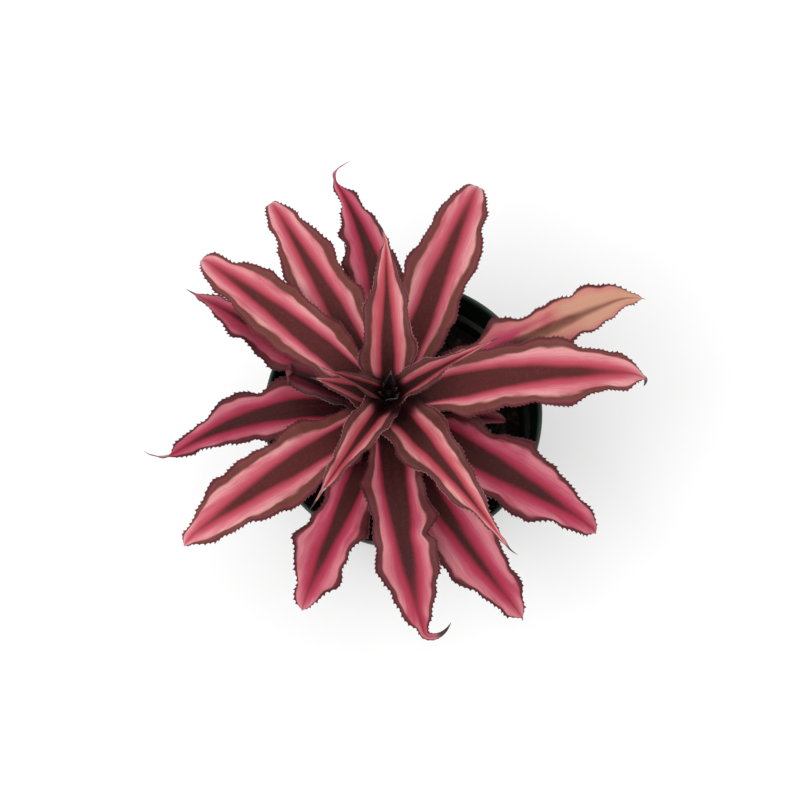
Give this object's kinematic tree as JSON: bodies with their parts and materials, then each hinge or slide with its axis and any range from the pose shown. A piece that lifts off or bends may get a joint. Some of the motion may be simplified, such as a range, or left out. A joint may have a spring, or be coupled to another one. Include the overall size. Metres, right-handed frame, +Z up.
{
  "type": "potted bromeliad",
  "caption": "Earth star bromeliad: a low rosette of wavy, striped, saw-edged leaves on a short rooted stem, in a round tapered nursery pot with a collared rim.",
  "frame": {"origin": "centre of the pot's flat underside", "axes": "+Z up out of the pot; +Y away from a person who looks at the plant as pictured, +X to that person's right"},
  "size_m": [0.1923, 0.1891, 0.136],
  "materials": {
    "pot_plastic": "thin moulded dark green plastic, satin",
    "potting_mix": "moist peat and fine bark, rough",
    "stem_bark": "dry brown stem and wiry roots",
    "leaf": "stiff striped leaf, rose pink with brown bands, silvery beneath, satin"
  },
  "bodies": {
    "root": {"heart_leaf_1": "leaf", "heart_leaf_2": "leaf", "heart_leaf_3": "leaf", "inner_leaf_1": "leaf", "inner_leaf_2": "leaf", "inner_leaf_3": "leaf", "inner_leaf_4": "leaf", "inner_leaf_5": "leaf", "middle_leaf_1": "leaf", "middle_leaf_2": "leaf", "middle_leaf_3": "leaf", "middle_leaf_4": "leaf", "middle_leaf_5": "leaf", "middle_leaf_6": "leaf", "nursery_pot": "pot_plastic", "outer_leaf_1": "leaf", "outer_leaf_2": "leaf", "outer_leaf_3": "leaf", "outer_leaf_4": "leaf", "outer_leaf_5": "leaf", "outer_leaf_6": "leaf", "outer_leaf_7": "leaf", "potting_mix": "potting_mix", "pup_leaf_1": "leaf", "pup_leaf_2": "leaf", "pup_leaf_3": "leaf", "stem_and_roots": "stem_bark"}
  },
  "joints": []
}
